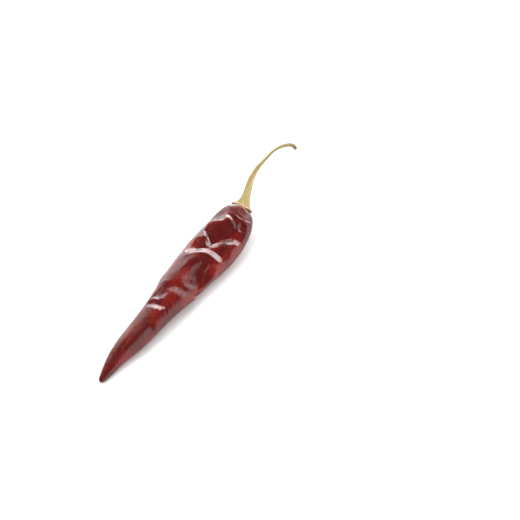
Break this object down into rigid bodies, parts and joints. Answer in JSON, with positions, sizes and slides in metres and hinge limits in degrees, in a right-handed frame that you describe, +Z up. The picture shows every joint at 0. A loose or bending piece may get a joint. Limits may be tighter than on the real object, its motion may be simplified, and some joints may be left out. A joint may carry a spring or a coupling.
{
  "type": "dried chilli pepper",
  "caption": "Long tapered dried chilli pepper with a collapsed, creased, glossy dark red skin, a lobed straw-coloured calyx and a thin curved stalk, lying on its side.",
  "frame": {"origin": "centre of the bounding box's bottom, on the surface the pepper lies on", "axes": "+X along the pepper towards its stalk, +Z up from the surface it lies on"},
  "size_m": [0.1456, 0.0214, 0.03],
  "materials": {
    "pod_skin": "glossy, wrinkled dried skin, mottled dark maroon to red",
    "dry_stem": "dull, dry and fibrous, with dark specks"
  },
  "bodies": {
    "root": {"pod": "pod_skin", "stem": "dry_stem"}
  },
  "joints": []
}
